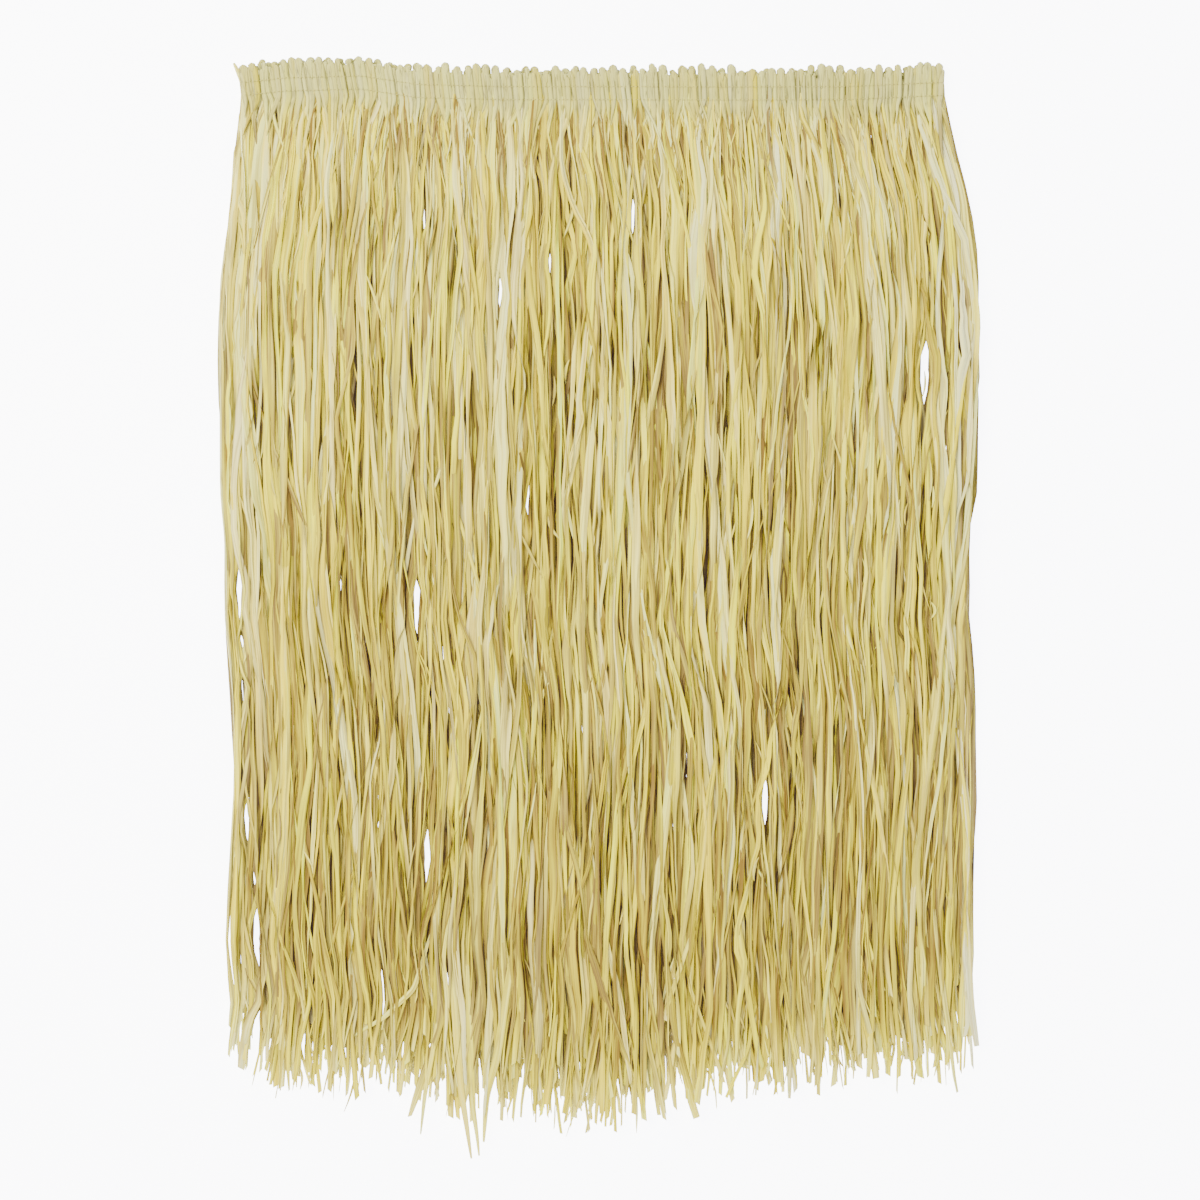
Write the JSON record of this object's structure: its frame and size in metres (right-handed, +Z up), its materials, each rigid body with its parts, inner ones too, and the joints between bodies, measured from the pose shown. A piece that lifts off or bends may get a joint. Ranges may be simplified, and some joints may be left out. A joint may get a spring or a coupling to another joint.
{
  "type": "grass skirt",
  "caption": "Natural raffia grass skirt laid flat: a sewn looped waist band over dense straight raffia strands with a ragged hem.",
  "frame": {"origin": "on the surface that the skirt lies on, below the middle of its box", "axes": "+X across the skirt to the viewer's right, +Y from the hem towards the waist, +Z up from the surface to the front of the skirt"},
  "size_m": [0.4852, 0.7162, 0.0165],
  "materials": {
    "back_header": "matte",
    "front_header": "matte",
    "back_outer_fringe": "satin",
    "back_inner_fringe": "satin",
    "front_inner_fringe": "satin",
    "front_outer_fringe": "satin"
  },
  "bodies": {
    "root": {"back_header": "back_header", "front_header": "front_header", "back_outer_fringe": "back_outer_fringe", "back_inner_fringe": "back_inner_fringe", "front_inner_fringe": "front_inner_fringe", "front_outer_fringe": "front_outer_fringe"}
  },
  "joints": []
}
